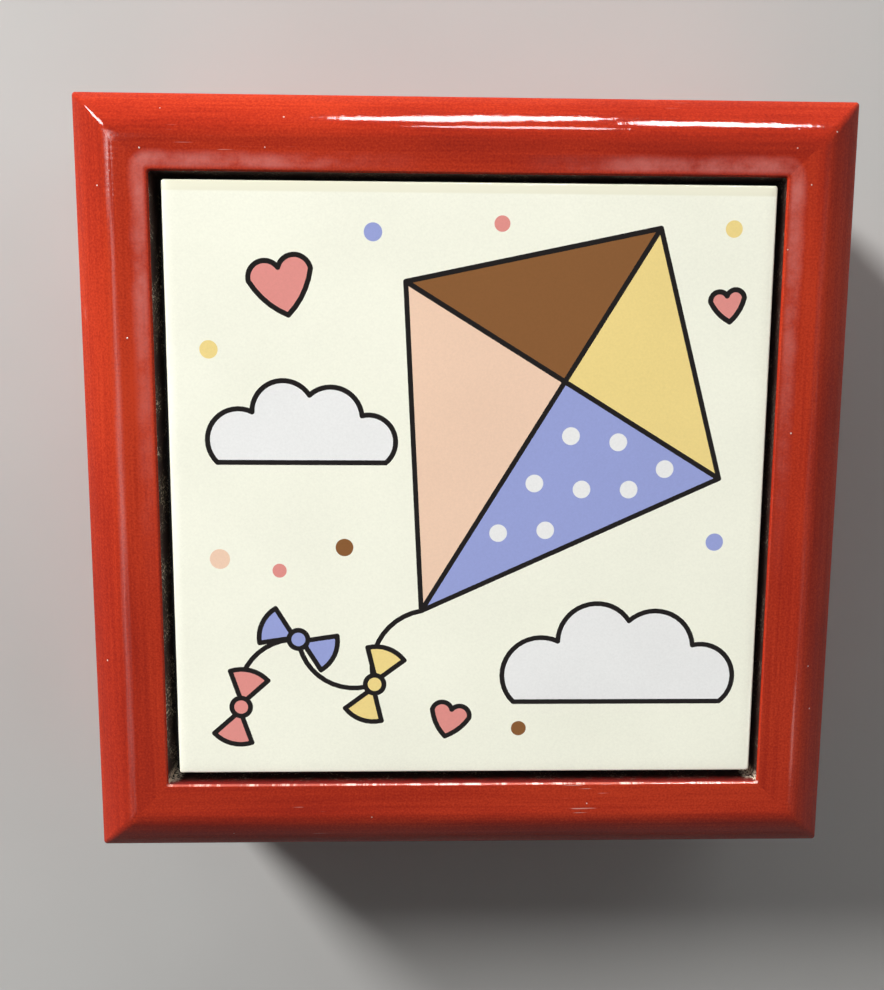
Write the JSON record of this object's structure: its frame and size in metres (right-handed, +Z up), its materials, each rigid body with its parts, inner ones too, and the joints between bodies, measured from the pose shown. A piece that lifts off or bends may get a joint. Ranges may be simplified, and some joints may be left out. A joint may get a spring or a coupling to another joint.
{
  "type": "keepsake box",
  "caption": "Square lacquered wooden keepsake box with a felt lining and a hinged lid whose mitred frame holds a glazed ceramic tile; keeps baby teeth or other small mementoes.",
  "frame": {"origin": "middle of the felt underside, where the box stands", "axes": "+Z up through the lid, +Y towards the hinges, +X to the right as the front is faced"},
  "size_m": [0.1396, 0.1396, 0.0508],
  "materials": {
    "lacquered_wood": "gloss",
    "backing_board": "matte",
    "glazed_tile": "gloss",
    "foam_tape": "matte",
    "lining_felt": "matte",
    "underside_felt": "matte",
    "hinge_brass": "satin"
  },
  "bodies": {
    "base": {"base_front_wall": "lacquered_wood", "base_rear_wall": "lacquered_wood", "base_left_wall": "lacquered_wood", "base_right_wall": "lacquered_wood", "base_floor_panel": "backing_board", "floor_lining": "lining_felt", "front_wall_lining": "lining_felt", "rear_wall_lining": "lining_felt", "left_wall_lining": "lining_felt", "right_wall_lining": "lining_felt", "base_felt_sheet": "underside_felt", "left_hinge_base_leaf": "hinge_brass", "right_hinge_base_leaf": "hinge_brass", "left_hinge_pin": "hinge_brass", "right_hinge_pin": "hinge_brass", "hinge_base_screws": "hinge_brass"},
    "lid": {"lid_front_rail": "lacquered_wood", "lid_rear_rail": "lacquered_wood", "lid_left_rail": "lacquered_wood", "lid_right_rail": "lacquered_wood", "lid_backing_panel": "backing_board", "tile_tape_pads": "foam_tape", "ceramic_tile": "glazed_tile", "lid_lining": "lining_felt", "left_hinge_lid_leaf": "hinge_brass", "right_hinge_lid_leaf": "hinge_brass", "hinge_lid_screws": "hinge_brass"}
  },
  "joints": [
    {"name": "lid_hinge", "type": "hinge", "parent": "base", "child": "lid", "pos_m": [0, 0.06685, 0.03175], "axis": [-1, 0, 0], "range_deg": [0, 100]}
  ]
}
